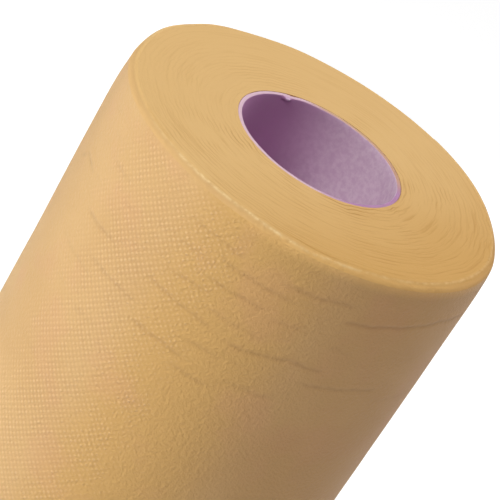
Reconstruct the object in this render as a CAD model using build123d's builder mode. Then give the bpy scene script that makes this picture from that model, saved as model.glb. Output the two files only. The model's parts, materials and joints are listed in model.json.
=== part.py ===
from build123d import *
import math
import os

# Examination couch roll: a long web of embossed paper wound on a cardboard tube.
# It stands on one cut end, with +Z up the axis of the roll. The origin is the centre of that end.
# Sizes are in millimetres and degrees.

# The wound web
web_width = 500.0
roll_diameter = 114.5
rim_radius = 2.4

# The tail, where the web ends on the outside of the roll, on the side away from the camera
tail_angle = 60.0
tail_thickness = 0.35

# The turns, as they show on both cut ends
turn_pitch = 3.8
turns_shown = 7
first_turn_radius = 27.6
turn_gap_width = 0.9
turn_gap_depth = 0.35

# The cardboard tube
core_bore_diameter = 48.0
core_wall = 1.3
core_edge_wear = 0.35

# Worked out from the sizes above
tail_radius = roll_diameter / 2 + tail_thickness / 2
core_outer_radius = core_bore_diameter / 2 + core_wall
quarters_in_turn = 4


def winding_quarters(gain_per_turn):
    # A winding that gains radius in each turn is drawn as four tangent quarter arcs. Their centres
    # are the corners of a small square, and each quarter is tighter than the one before it.
    # Each quarter gives the plane of its section, its axis, and the radius it has lost so far.
    gain = gain_per_turn / quarters_in_turn
    quarters = []
    for quarter in range(quarters_in_turn):
        start = tail_angle + 90 * quarter
        centre = Vector(gain / math.sqrt(2), 0, 0).rotate(Axis.Z, start - 45)
        outward = Vector(1, 0, 0).rotate(Axis.Z, start)
        section_plane = Plane(origin=centre, x_dir=outward, z_dir=outward.cross(Vector(0, 0, 1)))
        quarters.append((section_plane, Axis(centre, (0, 0, 1)), gain * quarter))
    return quarters


# Paper web, wound into one roll. Its turns run inwards from the tail.
with BuildPart() as paper_roll:
    # The outer turn, quarter by quarter, with both rims rounded and a step at the tail
    for section_plane, axis, radius_lost in winding_quarters(tail_thickness):
        with BuildSketch(section_plane) as wound_section:
            Rectangle(tail_radius - radius_lost, web_width, align=(Align.MIN, Align.MIN))
            fillet(wound_section.vertices().group_by(Axis.X)[-1], radius=rim_radius)
        revolve(axis=axis, revolution_arc=90)
    # The gap between neighbouring turns, one continuous winding on each cut end
    for section_plane, axis, radius_lost in winding_quarters(turn_pitch):
        with BuildSketch(section_plane):
            for turn in range(turns_shown):
                turn_radius = first_turn_radius + turn_pitch * (turn + 1) - radius_lost
                with Locations((turn_radius, 0), (turn_radius, web_width)):
                    Polygon(
                        (-turn_gap_width / 2, 0),
                        (0, turn_gap_depth),
                        (turn_gap_width / 2, 0),
                        (0, -turn_gap_depth),
                    )
        revolve(axis=axis, revolution_arc=90, mode=Mode.SUBTRACT)
    # The seat of the tube
    Hole(radius=core_outer_radius)
paper_roll.part.label = "paper_roll"

# Cardboard tube, cut flush with the web, with its cut edges worn round
with BuildPart() as core_tube:
    with BuildSketch(Plane.XY):
        Circle(core_outer_radius)
        Circle(core_bore_diameter / 2, mode=Mode.SUBTRACT)
    extrude(amount=web_width)
    chamfer(core_tube.edges().filter_by(GeomType.CIRCLE), length=core_edge_wear)
core_tube.part.label = "core_tube"

os.makedirs("parts", exist_ok=True)
export_step(paper_roll.part, "parts/paper_roll.step")
export_step(core_tube.part, "parts/core_tube.step")
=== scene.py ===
import json
import math
import bpy
import numpy as np
from mathutils import Matrix, Vector, noise


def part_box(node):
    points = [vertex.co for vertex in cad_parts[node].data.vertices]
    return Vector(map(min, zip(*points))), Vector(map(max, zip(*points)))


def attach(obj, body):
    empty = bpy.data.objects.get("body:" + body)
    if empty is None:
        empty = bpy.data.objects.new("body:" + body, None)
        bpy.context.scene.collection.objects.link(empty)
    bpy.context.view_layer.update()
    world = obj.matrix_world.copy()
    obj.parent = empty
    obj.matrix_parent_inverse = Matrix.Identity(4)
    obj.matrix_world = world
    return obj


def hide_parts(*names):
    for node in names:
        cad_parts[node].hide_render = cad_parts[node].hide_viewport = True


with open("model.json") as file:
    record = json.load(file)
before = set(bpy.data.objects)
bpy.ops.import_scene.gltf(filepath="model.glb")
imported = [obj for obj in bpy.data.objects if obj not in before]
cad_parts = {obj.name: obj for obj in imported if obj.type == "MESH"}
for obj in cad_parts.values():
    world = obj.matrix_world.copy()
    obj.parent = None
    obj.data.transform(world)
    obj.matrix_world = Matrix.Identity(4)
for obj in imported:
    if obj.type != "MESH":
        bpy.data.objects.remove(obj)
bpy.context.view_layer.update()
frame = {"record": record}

rollLow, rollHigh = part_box("paper_roll")
coreLow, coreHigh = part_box("core_tube")
mm = 0.001
rollTop = rollHigh.z
rollRadius = (rollHigh.x - rollLow.x) / 2
coreRadius = (coreHigh.x - coreLow.x) / 2
boreRadius = frame["record"]["mounts"][0]["dims"]["r_mm"] * mm
mergeGap = 0.002 * mm  # points nearer than this are one point
smoothAngle = math.radians(35)  # edges that turn more than this stay crisp


# small helpers

def clearSelection():
    if bpy.context.object and bpy.context.object.mode != "OBJECT":
        bpy.ops.object.mode_set(mode="OBJECT")
    bpy.ops.object.select_all(action="DESELECT")


def pickOnly(piece):
    clearSelection()
    bpy.context.view_layer.objects.active = piece
    piece.select_set(True)


def startProfile(name, radius, height):  # one loose vertex, ready to be extruded into a lathe profile
    clearSelection()
    bpy.ops.mesh.primitive_plane_add(size=1 * mm, location=(0, 0, 0))
    piece = bpy.context.object
    piece.name = name
    bpy.ops.object.mode_set(mode="EDIT")
    bpy.ops.mesh.select_mode(type="VERT")
    bpy.ops.mesh.select_all(action="SELECT")
    bpy.ops.mesh.merge(type="CENTER")
    bpy.ops.transform.translate(value=(radius, 0, height))
    return piece, [radius, height]


def extrudeTo(pen, radius, height):  # the next vertex of the profile
    bpy.ops.mesh.extrude_region_move(
        TRANSFORM_OT_translate={"value": (radius - pen[0], 0, height - pen[1])}
    )
    pen[0], pen[1] = radius, height


def closeProfile():
    bpy.ops.mesh.select_all(action="SELECT")
    bpy.ops.mesh.remove_doubles(threshold=mergeGap)


def spinProfile(segments, startAngle):  # once round the axis, with the seam left open at startAngle
    bpy.ops.transform.rotate(value=-startAngle, orient_axis="Z", center_override=(0, 0, 0))
    bpy.ops.mesh.spin(steps=segments, angle=2 * math.pi, center=(0, 0, 0), axis=(0, 0, 1))
    bpy.ops.object.mode_set(mode="OBJECT")


def arcPoints(centreRadius, centreHeight, radius, fromAngle, toAngle, rows):  # all but the first point
    turns = [fromAngle + (toAngle - fromAngle) * row / rows for row in range(1, rows + 1)]
    return [(centreRadius + radius * math.cos(t), centreHeight + radius * math.sin(t)) for t in turns]


def readPoints(piece):
    points = np.zeros(len(piece.data.vertices) * 3)
    piece.data.vertices.foreach_get("co", points)
    return points.reshape(-1, 3)


def writePoints(piece, points):
    piece.data.vertices.foreach_set("co", points.astype(np.float32).ravel())
    piece.data.update()


def writeLayer(piece, name, values):  # one number for each point, which a material can read
    layer = piece.data.attributes.new(name, "FLOAT", "POINT")
    layer.data.foreach_set("value", values.astype(np.float32))


def polar(points):  # distance from the roll's axis, and degrees round it
    radius = np.hypot(points[:, 0], points[:, 1])
    angle = np.degrees(np.arctan2(points[:, 1], points[:, 0]))
    return radius, angle


def smoothStep(value, low, high):
    t = np.clip((value - low) / (high - low), 0, 1)
    return t * t * (3 - 2 * t)


def bell(distance, width):
    return np.exp(-((distance / width) ** 2))


def noiseAt(points, scale, seed):  # soft noise from -1 to 1 at each point
    shift = Vector((seed, seed * 1.7, seed * 2.3))
    return np.array([noise.noise(Vector(p) * scale + shift) for p in points])


print("frame loaded")


# wound paper

rollPlan = {
    "segments": 264,
    "tailAngle": math.radians(60),
    "tailThickness": 0.35 * mm,
    "tailShade": 1.2,  # painted shadow in the crook under the edge of the tail, as strong as the painted shade in a deep fold
    "rimRadius": 2.4 * mm,
    "rimRows": 16,
    "fineRows": (0.36 * mm, 52 * mm),  # row height, and how far down from the top it is used
    "middleRows": (1.6 * mm, 120 * mm),
    "coarseRows": 8 * mm,
    "topRings": 58,
    "baseRings": 24,
    "sideSwell": 0.16 * mm,
    "swellScales": (1.6, 4.7),  # broad and small swells, for each radius of the roll
    "smallSwells": 0.4,  # share of the small ones
    "rollIn": 0.45 * mm,  # how far the front edge of the web rolls in
    "rollInReach": 5.5 * mm,
    "rollInStart": (-125, -85),  # degrees round the axis, over which it starts and ends
    "rollInEnd": (10, 50),
    "crestHeight": 0.07 * mm,
    "crestWidth": 0.38 * mm,
    "beadScale": 38.0,
    "beadSize": (0.7, 0.6),  # the steady part of the crest, and the part that comes and goes
    "crestStart": (-145, -108),  # degrees round the axis, over which the crest rises and then halves
    "crestHalves": (-85, -55),
    "looseDepth": 7.2 * mm,  # how deep the swells, dents and folds reach into the roll
    "endWave": 0.09 * mm,
    "endDrop": 0.6,  # share of the waves by which the turns lie low on the whole
    "waveStart": 2 * mm,  # from the tube, which the turns beside it keep level with
    "wavesOut": 420,  # for each metre out from the axis
    "wavesRound": 0.9,
    "sideShare": math.sin(math.radians(12)),  # share of the rounded rim that looks like the side
}

rimDents = [  # degrees round the axis, spread in degrees, mm out or in, mm below the top, mm it reaches
    (16, 22, -1.15, 0, 8),
    (112, 8, 0.35, 0, 10),
    (141, 9, 0.95, 0, 10),
    (160, 9, 0.45, 0, 10),
    (180, 11, -0.65, 0, 7),
    (-177, 14, 0.45, 38, 32),
    (-176, 12, 0.25, 16, 12),
]

crestRoute = [  # where loose edges stand out: degrees round the axis, degrees up the rounded rim
    (-180, 54), (-98, 54), (-80, 34), (-60, 54), (-40, 66), (-20, 76), (90, 76), (150, 54), (180, 54),
]

creases = [  # folds of the outer turn: strength, then (degrees round the axis, mm above the top)
    (1.3, [(-163, -30.4), (-159, -29.2), (-155, -26.0), (-152, -26.2), (-145, -26.4)]),
    (0.5, [(-146, -25.2), (-140, -25.8)]),
    (1.2, [(-142, -33.8), (-134, -33.4), (-123, -32.4)]),
    (0.7, [(-142, -17.2), (-129, -16.9)]),
    (0.5, [(-148, -12.4), (-141, -12.0)]),
    (0.5, [(-155, -9.2), (-146, -7.2)]),
    (0.8, [(-171, -22.4), (-162, -18.6)]),
    (0.5, [(-130, -22.2), (-122, -22.0)]),
    (1.0, [(-131, -41.4), (-120, -40.9), (-109, -40.6)]),
    (0.5, [(-146, -45.4), (-125, -45.6)]),
    (0.6, [(-119, -36.5), (-108, -36.4)]),
    (0.5, [(-115, -17.5), (-97, -17.6)]),
    (1.5, [(-111, -45.3), (-100, -44.9), (-90, -45.4)]),
    (1.3, [(-113, -31.7), (-104, -32.5), (-96, -32.8), (-88, -33.5)]),
    (1.2, [(-109, -26.3), (-94, -25.2)]),
    (1.4, [(-100, -21.5), (-88, -21.3), (-79, -21.1)]),
    (1.3, [(-99, -14.2), (-92, -15.3), (-84, -15.4), (-73, -15.8)]),
    (1.0, [(-110, -10.4), (-99, -10.7), (-91, -11.3)]),
    (1.4, [(-82, -12.2), (-72, -11.8), (-66, -11.0), (-58, -10.2)]),
    (2.3, [
        (-62, -15.8), (-55, -15.3), (-45, -14.2), (-35, -13.3), (-28, -12.8), (-20, -13.4), (-8, -14.6),
    ]),
    (1.6, [(-87, -34.5), (-79, -34.6), (-72, -32.9), (-67, -32.0), (-56, -32.3)]),
    (1.3, [(-64, -37.3), (-55, -37.2), (-46, -36.4), (-35, -36.1)]),
    (1.1, [(-97, -40.6), (-90, -39.9), (-82, -39.9)]),
    (0.6, [(-83, -38.2), (-75, -39.7)]),
    (1.0, [(-96, -48.4), (-88, -49.0), (-80, -49.1)]),
    (0.9, [(-82, -45.1), (-75, -45.1), (-64, -44.5)]),
    (0.8, [(-97, -28.5), (-90, -29.1), (-75, -29.2)]),
    (0.8, [(-80, -23.3), (-72, -22.0), (-66, -22.4)]),
    (0.8, [(-61, -24.1), (-57, -24.4), (-52, -25.2)]),
    (0.5, [(-37, -40.4), (-19, -41.0)]),
    (0.6, [(-130, -54.8), (-116, -55.8)]),
    (0.5, [(-142, -75.4), (-126, -75.7)]),
    (0.9, [(-118, -5.0), (-115, -1.8)]),
    (0.8, [(-82, -49.6), (-79.4, -43.5)]),
    (1.0, [(36, -18.0), (50, -18.8), (64, -18.2)]),
    (0.8, [(78, -27.5), (96, -28.6), (112, -28.0)]),
    (1.1, [(118, -14.0), (132, -13.2), (150, -14.4)]),
    (0.9, [(104, -41.0), (124, -40.2), (140, -41.2)]),
    (0.7, [(150, -33.0), (168, -33.8)]),
    (0.9, [(66, -46.2), (84, -45.4), (99, -46.5)]),
]

creasePlan = {
    "ridge": 0.07 * mm,
    "ridgeOffset": 1.3 * mm,
    "ridgeWidth": 1.1 * mm,
    "trough": 0.09 * mm,
    "troughWidth": 0.62 * mm,
    "deepest": 1.5,  # the deepest that the painted shade in a fold counts
    "taperDegrees": 5.0,
    "wander": ((0.14 * mm, 37), (0.08 * mm, 83)),  # how far a fold strays up and down, and how often
    "uneven": (61, 97),  # how often it gets weaker and stronger
    "steadyShare": 0.85,
    "unevenShare": 0.2,
}


def buildWoundPaper():
    plan = rollPlan
    rim = plan["rimRadius"]
    flatEdge = rollRadius - rim
    piece, pen = startProfile("wound_paper", coreRadius, 0)
    extrudeTo(pen, coreRadius, rollTop)
    for ring in range(1, plan["topRings"] + 1):  # rings of the upper cut end
        extrudeTo(pen, coreRadius + (flatEdge - coreRadius) * ring / plan["topRings"], rollTop)
    for point in arcPoints(flatEdge, rollTop - rim, rim, math.pi / 2, 0, plan["rimRows"]):
        extrudeTo(pen, *point)
    depth = rim
    while rollTop - rim - depth > mergeGap:  # rows down the side, finer where the web is creased
        step = plan["coarseRows"]
        for rowHeight, lastDepth in (plan["middleRows"], plan["fineRows"]):
            if depth < lastDepth:
                step = rowHeight
        depth = min(depth + step, rollTop - rim)
        extrudeTo(pen, rollRadius, rollTop - depth)
    for point in arcPoints(flatEdge, rim, rim, 0, -math.pi / 2, plan["rimRows"]):
        extrudeTo(pen, *point)
    for ring in range(1, plan["baseRings"] + 1):  # rings of the lower cut end
        extrudeTo(pen, flatEdge + (coreRadius - flatEdge) * ring / plan["baseRings"], 0)
    closeProfile()
    spinProfile(plan["segments"], plan["tailAngle"])
    return piece


def foldTheWeb(angles, heights):  # how far the folds push the web in or out, and the painted shade in them
    plan = creasePlan
    push = np.zeros(len(angles))
    shade = np.zeros(len(angles))
    for strength, route in creases:
        first, last = route[0][0], route[-1][0]
        near = (angles > first - 1) & (angles < last + 1)
        around = np.radians(angles[near])
        line = rollTop + np.interp(angles[near], [p[0] for p in route], [p[1] * mm for p in route])
        for (size, often), start in zip(plan["wander"], (first, last)):
            line += size * np.sin(around * often + start)
        end = min(plan["taperDegrees"], (last - first) / 2)
        depth = smoothStep(angles[near], first, first + end)
        depth *= 1 - smoothStep(angles[near], last - end, last)
        uneven = sum(np.sin(around * often + start) for often, start in zip(plan["uneven"], (first, last)))
        depth *= strength * (plan["steadyShare"] + plan["unevenShare"] * uneven)
        off = heights[near] - line
        trough = bell(off, plan["troughWidth"])
        ridge = bell(off - plan["ridgeOffset"], plan["ridgeWidth"])
        push[near] += depth * (plan["ridge"] * ridge - plan["trough"] * trough)
        shade[near] = np.maximum(shade[near], np.clip(depth, 0, plan["deepest"]) * trough)
    return push, shade


def dentTheRim(angle, height):
    dents = np.zeros(len(angle))
    for turn, spread, size, drop, reach in rimDents:
        away = (angle - turn + 180) % 360 - 180
        dents += size * mm * bell(away, spread) * bell(rollTop - height - drop * mm, reach * mm)
    return dents


def rollInTheEdge(angle, height):
    plan = rollPlan
    rollIn = plan["rollIn"] * np.clip(1 - (rollTop - height) / plan["rollInReach"], 0, 1) ** 2
    return rollIn * smoothStep(angle, *plan["rollInStart"]) * (1 - smoothStep(angle, *plan["rollInEnd"]))


def raiseTheCrest(radius, height, angle, direction):  # the crest of loose edges on the rounded rim
    plan = rollPlan
    rim = plan["rimRadius"]
    upTheRim = np.degrees(np.arctan2(height - rollTop + rim, radius - rollRadius + rim))
    crestPlace = np.interp(angle, [p[0] for p in crestRoute], [p[1] for p in crestRoute])
    off = np.radians(upTheRim - crestPlace) * rim
    onRim = (height > rollTop - rim) & (radius > rollRadius - rim)
    steady, varied = plan["beadSize"]
    beads = steady + varied * noiseAt(direction, plan["beadScale"], 2.2)
    beads *= smoothStep(angle, *plan["crestStart"]) * (1 - 0.5 * smoothStep(angle, *plan["crestHalves"]))
    crest = np.where(onRim, np.clip(beads, 0, 2) * bell(off, plan["crestWidth"]), 0)
    return crest, np.radians(crestPlace)


def waveTheEnds(points, radius):  # the turns stand a little high or low on both cut ends
    plan = rollPlan
    wavesRound = plan["wavesRound"] / radius
    place = np.stack(
        [radius * plan["wavesOut"], points[:, 0] * wavesRound, points[:, 1] * wavesRound], 1
    )
    wave = plan["endWave"] * (noiseAt(place, 1.0, 1.3) - plan["endDrop"])
    wave *= smoothStep(radius, coreRadius, coreRadius + plan["waveStart"])
    atTop = points[:, 2] > rollTop - mergeGap
    atBase = points[:, 2] < mergeGap
    return np.where(atTop, wave, 0) - np.where(atBase, wave, 0)


def shapeWoundPaper(piece):
    plan = rollPlan
    points = readPoints(piece)
    startRadius, angle = polar(points)
    height = points[:, 2].copy()
    loopSize = len(points) // (plan["segments"] + 1)
    turned = np.arange(len(points)) // loopSize / plan["segments"]  # 0 at the tail, 1 after one turn
    direction = np.stack([points[:, 0] / startRadius, points[:, 1] / startRadius, height / rollRadius], 1)
    # the outer turn loses the web's thickness on its way round, and swells where it is wound loosely
    gain = plan["tailThickness"] * (0.5 - turned)
    broad, small = plan["swellScales"]
    swell = noiseAt(direction, broad, 3.1) + plan["smallSwells"] * noiseAt(direction, small, 8.3)
    push, shade = foldTheWeb(angle, height)
    # painted shadow along the edge of the tail, in the same layer as the painted shade of the folds
    shade = np.maximum(shade, plan["tailShade"] * (turned > 0.999))
    out = gain + plan["sideSwell"] * swell + dentTheRim(angle, height) + push - rollInTheEdge(angle, height)
    outer = smoothStep(startRadius, rollRadius - plan["looseDepth"], rollRadius)
    crest, crestPlace = raiseTheCrest(startRadius, height, angle, direction)
    radius = startRadius + outer * out + plan["crestHeight"] * crest * np.cos(crestPlace)
    height += plan["crestHeight"] * crest * np.sin(crestPlace)
    height += waveTheEnds(points, radius)
    points[:, :2] *= (radius / startRadius)[:, None]
    points[:, 2] = height
    writePoints(piece, points)
    # the painted shade of the folds and of the tail's edge, for the material to read
    writeLayer(piece, "fold", shade)
    writeLayer(piece, "crest", crest)


def closeSeam(piece):  # the edge of the tail, and the two ends of the spin joined up again
    pickOnly(piece)
    bpy.ops.object.mode_set(mode="EDIT")
    bpy.ops.mesh.select_mode(type="EDGE")
    bpy.ops.mesh.select_all(action="DESELECT")
    bpy.ops.mesh.select_non_manifold()
    bpy.ops.mesh.bridge_edge_loops()
    bpy.ops.mesh.select_all(action="SELECT")
    bpy.ops.mesh.remove_doubles(threshold=mergeGap)
    bpy.ops.mesh.dissolve_degenerate(threshold=mergeGap)
    bpy.ops.mesh.normals_make_consistent(inside=False)
    bpy.ops.object.mode_set(mode="OBJECT")


woundPaper = buildWoundPaper()
shapeWoundPaper(woundPaper)
closeSeam(woundPaper)
print("wound paper", len(woundPaper.data.polygons), "faces")


# core tube

corePlan = {
    "segments": 132,
    "edgeRadius": 0.28 * mm,
    "edgeRows": 3,
    "wallRows": 40,
    "flapRows": 7,  # fine rows below the upper rim, for the torn flap
    "flapReach": 2.4 * mm,
    "flapHinge": (0.7, 0.2),  # shares of the reach, between which the flap bends in
    "flapAngle": 129.5,
    "flapSpread": 2.0,
    "flapFold": 1.3 * mm,
    "flapDroop": 0.5 * mm,
    "flapSkin": 0.3 * mm,  # how much of the board's thickness the flap takes
    "tearAngle": 124.5,
    "tearSpread": 3.2,
    "tearDepth": 0.25 * mm,
    "cutWave": 0.12 * mm,
    "cutWaveScale": 140,
    "cutWaveReach": 2 * mm,
}


def buildCore():
    plan = corePlan
    edge = plan["edgeRadius"]
    reach = plan["flapReach"]
    wall = rollTop - 2 * edge - reach
    piece, pen = startProfile("board_core", boreRadius, edge)
    for row in range(1, plan["wallRows"] + 1):
        extrudeTo(pen, boreRadius, edge + wall * row / plan["wallRows"])
    for row in range(1, plan["flapRows"] + 1):
        extrudeTo(pen, boreRadius, edge + wall + reach * row / plan["flapRows"])
    corners = [
        (boreRadius + edge, rollTop - edge, math.pi, math.pi / 2),
        (coreRadius - edge, rollTop - edge, math.pi / 2, 0),
        (coreRadius - edge, edge, 0, -math.pi / 2),
        (boreRadius + edge, edge, -math.pi / 2, -math.pi),
    ]
    for radius, height, fromAngle, toAngle in corners:
        start = (radius + edge * math.cos(fromAngle), height + edge * math.sin(fromAngle))
        if math.dist(start, pen) > mergeGap:
            extrudeTo(pen, *start)
        for point in arcPoints(radius, height, edge, fromAngle, toAngle, plan["edgeRows"]):
            extrudeTo(pen, *point)
    closeProfile()
    spinProfile(plan["segments"], 0)
    bpy.ops.object.mode_set(mode="EDIT")
    bpy.ops.mesh.select_all(action="SELECT")
    bpy.ops.mesh.remove_doubles(threshold=mergeGap)
    bpy.ops.mesh.normals_make_consistent(inside=False)
    bpy.ops.object.mode_set(mode="OBJECT")
    return piece


def shapeCore(piece):
    plan = corePlan
    points = readPoints(piece)
    radius, angle = polar(points)
    height = points[:, 2].copy()
    nearCut = smoothStep(height, rollTop - plan["cutWaveReach"], rollTop)
    wave = plan["cutWave"] * (noiseAt(points, plan["cutWaveScale"], 5.5) - 0.5)
    tear = plan["tearDepth"] * bell(angle - plan["tearAngle"], plan["tearSpread"])
    # a flap of the board is torn loose at the cut and folded in over the bore
    low, high = [rollTop - share * plan["flapReach"] for share in plan["flapHinge"]]
    flap = bell(angle - plan["flapAngle"], plan["flapSpread"]) * smoothStep(height, low, high)
    flap *= radius < boreRadius + plan["flapSkin"]
    points[:, :2] *= (1 - plan["flapFold"] * flap / radius)[:, None]
    points[:, 2] += nearCut * (wave - tear) - plan["flapDroop"] * flap
    writePoints(piece, points)
    writeLayer(piece, "flap", flap)


boardCore = buildCore()
shapeCore(boardCore)
print("core", len(boardCore.data.polygons), "faces")


# materials

def rgb(hexColour, alpha=1.0):  # an sRGB colour such as "D6A96A", as linear values
    channels = [int(hexColour[i:i + 2], 16) / 255 for i in (0, 2, 4)]
    linear = [c / 12.92 if c <= 0.04045 else ((c + 0.055) / 1.055) ** 2.4 for c in channels]
    return (*linear, alpha)


class Nodes:  # short names for building one material
    def __init__(self, name):
        self.material = bpy.data.materials.new(name)
        self.material.use_nodes = True
        self.tree = self.material.node_tree
        self.tree.nodes.clear()
        output = self.add("OutputMaterial")
        self.shader = self.add("BsdfPrincipled")
        self.put(output.inputs[0], self.shader.outputs[0])

    def add(self, kind, settings=None, **inputs):
        node = self.tree.nodes.new("ShaderNode" + kind)
        for key, value in (settings or {}).items():
            setattr(node, key, value)
        for key, value in inputs.items():
            self.put(node.inputs[key], value)
        return node

    def put(self, socket, value):
        if isinstance(value, bpy.types.NodeSocket):
            self.tree.links.new(value, socket)
        else:
            socket.default_value = value

    def math(self, operation, *values):
        node = self.add("Math", {"operation": operation})
        for socket, value in zip(node.inputs, values):
            self.put(socket, value)
        return node.outputs[0]

    def times(self, first, *others):
        for value in others:
            first = self.math("MULTIPLY", first, value)
        return first

    def plus(self, first, *others):
        for value in others:
            first = self.math("ADD", first, value)
        return first

    def range(self, value, low, high, toLow=0.0, toHigh=1.0):
        node = self.add("MapRange", {"interpolation_type": "SMOOTHSTEP"}, Value=value)
        for name, number in (("From Min", low), ("From Max", high), ("To Min", toLow), ("To Max", toHigh)):
            self.put(node.inputs[name], number)
        return node.outputs["Result"]

    def mix(self, share, first, second):
        node = self.add("Mix", {"data_type": "RGBA", "blend_type": "MIX"})
        self.put(node.inputs["Factor"], share)
        self.put([s for s in node.inputs if s.name == "A" and s.type == "RGBA"][0], first)
        self.put([s for s in node.inputs if s.name == "B" and s.type == "RGBA"][0], second)
        return [s for s in node.outputs if s.type == "RGBA"][0]

    def tint(self, colour, share, hexColour):
        return self.mix(share, colour, rgb(hexColour))

    def place(self):
        return self.add("TexCoord").outputs["Object"]

    def attribute(self, name):
        return self.add("Attribute", {"attribute_name": name}).outputs["Fac"]

    def split(self, vector):
        node = self.add("SeparateXYZ", Vector=vector)
        return node.outputs[0], node.outputs[1], node.outputs[2]

    def join(self, x, y, z):
        return self.add("CombineXYZ", X=x, Y=y, Z=z).outputs[0]

    def noise(self, vector, scale, detail=2.0, roughness=0.5):
        node = self.add("TexNoise", Vector=vector, Scale=scale, Detail=detail, Roughness=roughness)
        return node.outputs["Fac"]

    def patches(self, vector, grain, low=0.0, high=1.0, spread=(0.3, 0.7)):  # noise with clearer edges
        return self.range(self.noise(vector, *grain), *spread, low, high)

    def stray(self, vector, grain, size):  # noise round zero
        return self.times(self.math("SUBTRACT", self.noise(vector, *grain), 0.5), size)

    def fromAxis(self, x, y):
        return self.math("SQRT", self.plus(self.times(x, x), self.times(y, y)))

    def facing(self, around, degrees):  # 1 on the side at this angle, and -1 on the far side
        return self.math("COSINE", self.math("SUBTRACT", around, math.radians(degrees)))

    def side(self, around, place, low=0.0, high=1.0):  # high on one side of the roll, and low elsewhere
        degrees, start, full = place
        return self.range(self.facing(around, degrees), start, full, low, high)

    def below(self, z, fromDepth, toDepth, low=0.0, high=1.0):  # from low to high between two depths
        return self.range(z, rollTop - fromDepth, rollTop - toDepth, low, high)

    def finish(self, colour, height, look):
        bump = self.add("Bump", Height=height, Strength=look["bump"], Distance=look["relief"])
        self.put(self.shader.inputs["Base Color"], colour)
        self.put(self.shader.inputs["Normal"], bump.outputs[0])
        self.shader.inputs["Roughness"].default_value = look["roughness"]
        self.shader.inputs["Specular IOR Level"].default_value = look["gloss"]
        return self.material


# In the looks below, a noise is its scale, its detail and, where a third number stands, its roughness.
# A side is degrees round the axis, and the cosines of the angles away from it where it starts and is full.

paperLook = {
    "base": "CFA76E",
    "deep": "CAA168",
    "deepNoise": (35, 3.0),
    # painted warm light: a narrow stripe down the middle of the front is tinted warmer and more saturated
    "paintedWarmLight": "CDA25F",
    "paintedWarmLightSide": (-90, 0.9, 1.0),
    "blush": "D29C74",
    "blushNoise": (60, 2.0),
    "blushEdge": (0.48, 0.7),
    "blushShare": 0.22,
    # painted shade in the folds and under the edge of the tail
    "foldShade": "8A6238",
    "foldShare": 0.16,
    "worn": "ECBE74",  # painted highlight: the rim's lit tone, carried a little way down the side at the front and fading out below
    "wornDepths": (5.0 * mm, 1.8 * mm),
    "wornSide": (-48, 0.5, 0.95),
    "wornShare": 0.6,
    # paler dot tops, partly the paper's own tone and partly a painted highlight
    "dot": "DFBA88",
    "dotHighlightShare": 0.55,
    "dotsRound": 180,
    "dotRowHeight": 0.97 * mm,
    "dotEdge": (0.1, 0.9),
    "dotBump": 0.8,
    "netShade": "BD9362",  # painted shade in the net between the dots
    "netShadeShare": 0.3,
    "netEdge": (0.15, -0.5),
    "dotStray": 1.6,  # how far the columns and rows stray
    "columnNoise": (60, 1.0),
    "rowNoise": (47, 1.0),
    "bandAngle": -116,  # the middle of the ragged band in front where the dots stand up
    "bandEdge": 0.58,
    "bandRagged": 0.7,
    "raggedNoise": (240, 3.0),
    "flatDots": 0.1,  # how high the dots stand in front outside the band
    "behindDots": 0.8,  # and behind
    "behindStart": (-0.05, 0.35),  # share of the radius towards the back
    "rimDepths": (1.5 * mm, 4.5 * mm),  # where the dots start below the rim
    "pressNoise": (90, 2.0),
    "pressShares": (0.65, 1.15),
    "singleNoise": (520, 1.0),  # no two dots are quite alike
    "singleShares": (0.6, 1.3),
    "fibreNoise": (1500, 3.0, 0.7),
    "fibreBump": 0.3,
    "grainNoise": (980, 3.0, 0.65),
    "grainBump": 3.2,
    "streakBump": 1.2,  # upright streaks, low down in front
    "streakScale": (760, 760, 300),
    "streakSide": (-84, 0.9, 0.98),
    "streakDepths": (45 * mm, 60 * mm),
    "faintStreaks": 0.1,
    "relief": 0.11 * mm,
    "bump": 1.0,
    "roughness": 0.75,
    "gloss": 0.3,
    "sheen": 0.2,
    "sheenRoughness": 0.5,
}


def embossedDots(n, place, around, y, z):  # the dots, and the net between them
    look = paperLook
    column = n.times(around, look["dotsRound"])
    column = n.plus(column, n.stray(place, look["columnNoise"], look["dotStray"]))
    row = n.times(z, math.pi / look["dotRowHeight"])
    row = n.plus(row, n.stray(place, look["rowNoise"], look["dotStray"]))
    lattice = n.times(n.math("COSINE", column), n.math("COSINE", row))
    # in front the dots stand up only in the one ragged band and lie nearly flat elsewhere; their painted
    # highlight and shade follow them
    off = n.math("SUBTRACT", around, math.radians(look["bandAngle"]))
    ragged = n.stray(place, look["raggedNoise"], look["bandRagged"])
    band = n.plus(n.math("COSINE", n.times(off, 2.0)), ragged)
    pressed = n.range(band, look["bandEdge"], 1.0, look["flatDots"], 1.0)
    behind = n.range(n.math("DIVIDE", y, rollRadius), *look["behindStart"])
    pressed = n.math("MAXIMUM", pressed, n.times(behind, look["behindDots"]))
    pressed = n.times(pressed, n.below(z, *look["rimDepths"]))
    pressed = n.times(pressed, n.patches(place, look["pressNoise"], *look["pressShares"]))
    pressed = n.times(pressed, n.patches(place, look["singleNoise"], *look["singleShares"]))
    dot = n.times(n.range(lattice, *look["dotEdge"]), pressed)
    netShade = n.times(n.range(lattice, *look["netEdge"]), pressed)
    return dot, netShade


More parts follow.
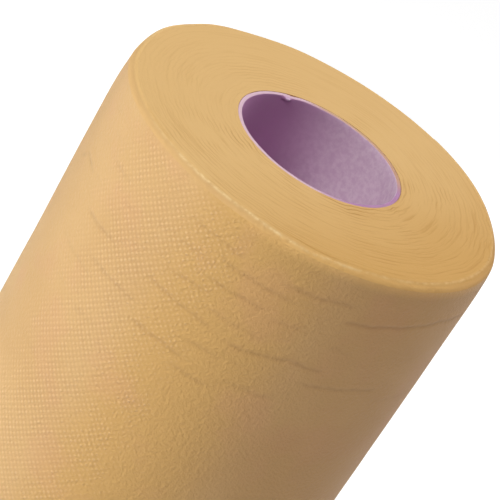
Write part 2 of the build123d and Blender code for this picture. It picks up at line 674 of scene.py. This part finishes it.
def embossedPaper():
    look = paperLook
    n = Nodes("embossedPaper")
    place = n.place()
    x, y, z = n.split(place)
    around = n.math("ARCTAN2", y, x)
    dot, netShade = embossedDots(n, place, around, y, z)
    colour = n.mix(n.patches(place, look["deepNoise"]), rgb(look["deep"]), rgb(look["base"]))
    # painted warm light down the middle of the front
    colour = n.tint(colour, n.side(around, look["paintedWarmLightSide"]), look["paintedWarmLight"])
    # painted shade in the net between the dots, and paler dot tops that are partly a painted highlight
    colour = n.tint(colour, n.times(netShade, look["netShadeShare"]), look["netShade"])
    colour = n.tint(colour, n.times(dot, look["dotHighlightShare"]), look["dot"])
    blush = n.patches(place, look["blushNoise"], 0.0, look["blushShare"], look["blushEdge"])
    colour = n.tint(colour, blush, look["blush"])
    # painted shade in the folds and under the edge of the tail
    colour = n.tint(colour, n.times(n.attribute("fold"), look["foldShare"]), look["foldShade"])
    # painted highlight just below the rim at the front
    worn = n.below(z, *look["wornDepths"])
    worn = n.times(worn, n.side(around, look["wornSide"], 0.0, look["wornShare"]))
    colour = n.tint(colour, worn, look["worn"])
    streakPlace = n.add("Mapping", Vector=place, Scale=look["streakScale"]).outputs[0]
    streakBand = n.side(around, look["streakSide"], look["faintStreaks"])
    streakBand = n.times(streakBand, n.below(z, *look["streakDepths"], look["faintStreaks"]))
    height = n.plus(
        n.times(dot, look["dotBump"]),
        n.times(n.noise(place, *look["fibreNoise"]), look["fibreBump"]),
        n.times(n.noise(place, *look["grainNoise"]), look["grainBump"]),
        n.times(n.noise(streakPlace, 1.0), streakBand, look["streakBump"]),
    )
    n.shader.inputs["Sheen Weight"].default_value = look["sheen"]
    n.shader.inputs["Sheen Roughness"].default_value = look["sheenRoughness"]
    return n.finish(colour, height, look)


cutLook = {
    "warm": "D6A860",
    # painted reflection of glare off the white surroundings, at the back left
    "paintedGlare": "E6BE7D",
    "paintedGlareAngle": 150,
    "toneEdge": (-1.0, 0.0),
    "toneStray": 0.4,
    "toneNoise": (30, 3.0),
    "line": "BD8A42",
    "lineShare": 0.4,
    "lineEdge": (0.5, 0.3),
    "turnLines": 1500,
    "turnsRound": 2.2,
    "turnStray": 1.8 * mm,
    "strayNoise": (70, 1.0),
    "turnNoise": (1.0, 3.0, 0.6),
    "clearSide": (-50, -0.5, 0.75),  # the turns show best towards the front right
    "faintTurns": 0.3,
    "worn": "ECBE74",  # painted highlight: the edge of the cut end is paler at the front right
    "wornDepths": (0.2 * mm, 1.0 * mm),
    "wornSide": (-60, 0.3, 0.85),
    "wornShare": 0.85,
    "gapPitch": 1.45 * mm,  # of the wavy gaps between the turns
    "gapEdge": (0.35, 1.0),
    "gapStray": 3.2 * mm,
    "gapNoise": (130, 2.0),
    "gapPatches": (75, 1.0),
    "gapShare": 0.75,
    "gapBump": 1.2,
    "gapReach": (2 * mm, 26 * mm),  # from the tube, where they are widest
    "farGaps": 0.35,
    "shoulderShade": "CFA76E",  # painted shade: on the left the rounded rim is darkened to the side's tone, so it shows no brighter than the side
    "shoulderShadeDepths": (0.02 * mm, 0.6 * mm),
    "shoulderShadeSide": (-150, 0.2, 0.8),
    "crest": "F4D8A0",  # loose fibres along the crest are paler, and a painted highlight marks where they catch the light
    "crestNoise": (700, 2.0),
    "crestLow": 0.2,
    "clearEdge": (0.35, 0.65),
    "fibreNoise": (1500, 3.0, 0.7),
    "fibreBump": 0.4,
    "roughNoise": (800, 2.0, 0.6),
    "roughSide": (-110, -0.2, 0.5),
    "roughShares": (0.6, 2.2),
    "relief": 0.09 * mm,
    "bump": 1.0,
    "roughness": 0.8,
    "gloss": 0.3,
}


def wavyGaps(n, place, radius, clear):
    look = cutLook
    strayed = n.plus(radius, n.stray(place, look["gapNoise"], look["gapStray"]))
    gap = n.range(n.math("SINE", n.times(strayed, 2 * math.pi / look["gapPitch"])), *look["gapEdge"])
    patch = n.patches(place, look["gapPatches"], 0.0, 1.0, look["clearEdge"])
    near, far = [coreRadius + reach for reach in look["gapReach"]]
    fade = n.range(radius, near, far, 1.0, look["farGaps"])
    return n.times(n.times(gap, patch), n.times(fade, clear))


def cutEdgePaper():  # the turns' cut edges, seen on both ends
    look = cutLook
    n = Nodes("cutEdgePaper")
    place = n.place()
    x, y, z = n.split(place)
    radius = n.fromAxis(x, y)
    around = n.math("ARCTAN2", y, x)
    strayed = n.plus(radius, n.stray(place, look["strayNoise"], look["turnStray"]))
    turnPlace = n.join(
        n.times(strayed, look["turnLines"]),
        n.times(n.math("DIVIDE", x, radius), look["turnsRound"]),
        n.times(n.math("DIVIDE", y, radius), look["turnsRound"]),
    )
    turns = n.noise(turnPlace, *look["turnNoise"])
    clear = n.side(around, look["clearSide"], look["faintTurns"])
    gap = wavyGaps(n, place, radius, clear)
    # warm at the front right, and pale at the back left with a painted reflection of glare off the white
    # surroundings
    across = n.times(n.facing(around, look["paintedGlareAngle"]), n.math("DIVIDE", radius, rollRadius))
    tone = n.plus(across, n.stray(place, look["toneNoise"], look["toneStray"]))
    colour = n.mix(n.range(tone, *look["toneEdge"]), rgb(look["warm"]), rgb(look["paintedGlare"]))
    line = n.times(n.range(turns, *look["lineEdge"], 0.0, look["lineShare"]), clear)
    colour = n.tint(colour, line, look["line"])
    # painted highlight along the edge of the cut end at the front right
    worn = n.below(z, *look["wornDepths"])
    worn = n.times(worn, n.side(around, look["wornSide"], 0.0, look["wornShare"]))
    colour = n.tint(colour, worn, look["worn"])
    colour = n.tint(colour, n.times(gap, look["gapShare"]), look["line"])
    # painted shade on the rounded rim at the left
    shoulderShade = n.times(n.below(z, *look["shoulderShadeDepths"]), n.side(around, look["shoulderShadeSide"]))
    colour = n.tint(colour, shoulderShade, look["shoulderShade"])
    # paler loose fibres on the crest, partly their own tone and partly a painted highlight
    fibres = n.patches(place, look["crestNoise"], look["crestLow"], 1.0, look["clearEdge"])
    colour = n.tint(colour, n.times(n.attribute("crest"), fibres), look["crest"])
    rough = n.side(around, look["roughSide"], *look["roughShares"])
    height = n.plus(
        n.times(turns, clear),
        n.times(n.noise(place, *look["fibreNoise"]), look["fibreBump"]),
        n.times(n.noise(place, *look["roughNoise"]), rough),
        n.times(gap, -look["gapBump"]),
    )
    return n.finish(colour, height, look)


boardLook = {
    # painted light and shade on the inner wall: a shaded tone, and a lit tone towards 30 degrees round
    "shaded": "C898C2",
    "paintedLitWall": "E8D1E0",
    "paintedLitWallSide": (30, -0.2, 0.95),
    "mottle": "C79CC0",
    "mottleNoise": (620, 3.0, 0.6),
    "mottleEdge": (0.3, 0.7),
    "mottleShare": 0.45,
    "rimLeft": "E4C4D2",
    "rimRight": "B88AB4",
    "rimChange": (2 * mm, 17 * mm),  # where the cut edge goes from the one to the other, along X
    "rimDepths": (0.02 * mm, 0.15 * mm),  # from the bore, where the cut edge starts
    "fluff": "D3A873",  # paper fluff on the cut edge at the far side
    "fluffShare": 0.75,
    "fluffLean": 0.6,
    "fluffStart": (0.6, 1.0),
    "flap": "E6CDE4",
    "flapEdge": (0.3, 0.8),
    "fibreNoise": (700, 3.0, 0.6),
    "relief": 0.05 * mm,
    "bump": 0.6,
    "roughness": 0.75,
    "gloss": 0.3,
}


def coreBoard():
    look = boardLook
    n = Nodes("coreBoard")
    place = n.place()
    x, y = n.split(place)[:2]
    radius = n.fromAxis(x, y)
    around = n.math("ARCTAN2", y, x)
    # painted light and shade: the inner wall is lit towards 30 degrees round and shaded elsewhere
    inner = n.mix(n.side(around, look["paintedLitWallSide"]), rgb(look["shaded"]), rgb(look["paintedLitWall"]))
    mottle = n.range(n.noise(place, *look["mottleNoise"]), *look["mottleEdge"])
    inner = n.tint(inner, n.times(mottle, look["mottleShare"]), look["mottle"])
    rim = n.mix(n.range(x, *look["rimChange"]), rgb(look["rimLeft"]), rgb(look["rimRight"]))
    farSide = n.math("DIVIDE", n.plus(y, n.times(x, look["fluffLean"])), boreRadius)
    rim = n.tint(rim, n.range(farSide, *look["fluffStart"], 0.0, look["fluffShare"]), look["fluff"])
    start, full = [boreRadius + depth for depth in look["rimDepths"]]
    colour = n.mix(n.range(radius, start, full), inner, rim)
    colour = n.tint(colour, n.range(n.attribute("flap"), *look["flapEdge"]), look["flap"])
    return n.finish(colour, n.noise(place, *look["fibreNoise"]), look)


def dressWoundPaper():  # the side first, then the cut edges, which reach down into the rounded rims
    woundPaper.data.materials.append(embossedPaper())
    woundPaper.data.materials.append(cutEdgePaper())
    cutDepth = rollPlan["rimRadius"] * (1 - rollPlan["sideShare"])
    for face in woundPaper.data.polygons:
        depth = min(face.center.z, rollTop - face.center.z)
        face.material_index = 1 if depth < cutDepth else 0


dressWoundPaper()
boardCore.data.materials.append(coreBoard())
for piece, node, slot in ((woundPaper, "paper_roll", "paper"), (boardCore, "core_tube", "core_board")):
    pickOnly(piece)
    bpy.ops.object.shade_smooth_by_angle(angle=smoothAngle)
    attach(piece, "root")
    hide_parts(node)
print("materials on")


# floor and white surroundings

stagePlan = {
    "floorSize": 12.0,
    "floorWhite": 0.8,
    "shadowShare": 0.3,
    "plainWhite": 1.35,
    "airStrength": 0.02,  # of the white air that lights the object from all round
}


def makeFloor():
    clearSelection()
    bpy.ops.mesh.primitive_plane_add(size=stagePlan["floorSize"], location=(0, 0, 0))
    floor = bpy.context.object
    floor.name = "studio_floor"
    material = bpy.data.materials.new("floorWhite")
    material.use_nodes = True
    tree = material.node_tree
    tree.nodes.clear()
    white = stagePlan["floorWhite"]
    output = tree.nodes.new("ShaderNodeOutputMaterial")
    lit = tree.nodes.new("ShaderNodeBsdfDiffuse")
    lit.inputs["Color"].default_value = (white, white, white, 1)
    plain = tree.nodes.new("ShaderNodeEmission")
    plain.inputs["Strength"].default_value = stagePlan["plainWhite"]
    seen = tree.nodes.new("ShaderNodeLightPath")
    share = tree.nodes.new("ShaderNodeMath")
    share.operation = "MULTIPLY"
    share.inputs[1].default_value = 1 - stagePlan["shadowShare"]
    blend = tree.nodes.new("ShaderNodeMixShader")
    tree.links.new(seen.outputs["Is Camera Ray"], share.inputs[0])
    tree.links.new(share.outputs[0], blend.inputs[0])
    tree.links.new(lit.outputs[0], blend.inputs[1])
    tree.links.new(plain.outputs[0], blend.inputs[2])
    tree.links.new(blend.outputs[0], output.inputs[0])
    floor.data.materials.append(material)


def makeWorld():
    world = bpy.data.worlds.new("studioAir")
    bpy.context.scene.world = world
    world.use_nodes = True
    tree = world.node_tree
    tree.nodes.clear()
    output = tree.nodes.new("ShaderNodeOutputWorld")
    air = tree.nodes.new("ShaderNodeBackground")
    white = tree.nodes.new("ShaderNodeBackground")
    for background, strength in ((air, stagePlan["airStrength"]), (white, 1.0)):
        background.inputs["Color"].default_value = (1, 1, 1, 1)
        background.inputs["Strength"].default_value = strength
    seen = tree.nodes.new("ShaderNodeLightPath")
    cameraOrGloss = tree.nodes.new("ShaderNodeMath")
    cameraOrGloss.operation = "MAXIMUM"
    seenAsWhite = tree.nodes.new("ShaderNodeMath")
    seenAsWhite.operation = "MAXIMUM"
    blend = tree.nodes.new("ShaderNodeMixShader")
    tree.links.new(seen.outputs["Is Camera Ray"], cameraOrGloss.inputs[0])
    tree.links.new(seen.outputs["Is Glossy Ray"], cameraOrGloss.inputs[1])
    tree.links.new(cameraOrGloss.outputs[0], seenAsWhite.inputs[0])
    tree.links.new(seen.outputs["Is Transmission Ray"], seenAsWhite.inputs[1])
    tree.links.new(seenAsWhite.outputs[0], blend.inputs[0])
    tree.links.new(air.outputs[0], blend.inputs[1])
    tree.links.new(white.outputs[0], blend.inputs[2])
    tree.links.new(blend.outputs[0], output.inputs[0])


lampAim = 0.05  # metres below the roll's top
lamps = {  # degrees round the axis, height above the aim, distance, size, watts, colour
    "lowLeft": (-152, -0.1, 1.3, 0.5, 9.3, (0.98, 1.0, 1.01)),
    "lowFront": (-70, -0.1, 1.3, 0.5, 3.6, (1.0, 0.95, 0.98)),
    "highLeft": (-150, 1.0, 0.9, 0.5, 8.2, (1.0, 1.0, 1.0)),
    "highFront": (-120, 1.0, 0.9, 0.5, 3.4, (1.0, 0.97, 0.95)),
    "highRight": (0, 1.0, 0.9, 0.5, 2.4, (1.0, 0.84, 0.9)),
    "highBack": (60, 1.0, 0.9, 0.5, 6.2, (1.0, 0.99, 0.98)),
    "lowRight": (40, 0.2, 1.4, 0.9, 2.4, (1.0, 0.86, 0.95)),
    "lowBack": (95, -0.1, 1.3, 0.5, 4.5, (1.0, 1.0, 1.0)),
}


def makeLamps():
    aim = Vector((0, 0, rollTop - lampAim))
    for name, (angle, rise, distance, size, watts, colour) in lamps.items():
        turn = math.radians(angle)
        place = aim + Vector((math.cos(turn) * distance, math.sin(turn) * distance, rise))
        data = bpy.data.lights.new(name, "AREA")
        data.shape = "SQUARE"
        data.size = size
        data.energy = watts
        data.color = colour
        lamp = bpy.data.objects.new(name, data)
        bpy.context.scene.collection.objects.link(lamp)
        lamp.location = place
        lamp.rotation_euler = (aim - place).to_track_quat("-Z", "Y").to_euler()


makeFloor()
makeWorld()
makeLamps()
print("stage and lamps set")


# camera, at the photograph's viewing angle

cameraPlan = {
    "focalLength": 149.2,  # mm
    "sensorWidth": 36,  # mm
    "elevation": math.radians(27.36),
    "lean": math.radians(31.67),  # the picture is turned about the line of sight
    "distance": 0.5634,
    "pictureSize": 500,
    "topCentre": (320.62, 147.93),  # pixel that the middle of the upper cut end falls on
}


def makeCamera():
    plan = cameraPlan
    back = Vector((0, -math.cos(plan["elevation"]), math.sin(plan["elevation"])))
    level = Vector((1, 0, 0))
    upright = back.cross(level)
    right = level * math.cos(plan["lean"]) + upright * math.sin(plan["lean"])
    up = upright * math.cos(plan["lean"]) - level * math.sin(plan["lean"])
    data = bpy.data.cameras.new("photoCamera")
    data.sensor_width = plan["sensorWidth"]
    data.lens = plan["focalLength"]
    data.clip_start = 0.01
    data.clip_end = 50
    pixel = plan["sensorWidth"] / plan["focalLength"] / plan["pictureSize"] * plan["distance"]
    across = (plan["topCentre"][0] - plan["pictureSize"] / 2) * pixel
    above = (plan["pictureSize"] / 2 - plan["topCentre"][1]) * pixel
    place = Vector((0, 0, rollTop)) + back * plan["distance"] - right * across - up * above
    camera = bpy.data.objects.new("photoCamera", data)
    bpy.context.scene.collection.objects.link(camera)
    camera.matrix_world = Matrix.Translation(place) @ Matrix((right, up, back)).transposed().to_4x4()
    bpy.context.scene.camera = camera


makeCamera()
bpy.context.scene.view_settings.view_transform = "Standard"
print("camera set")
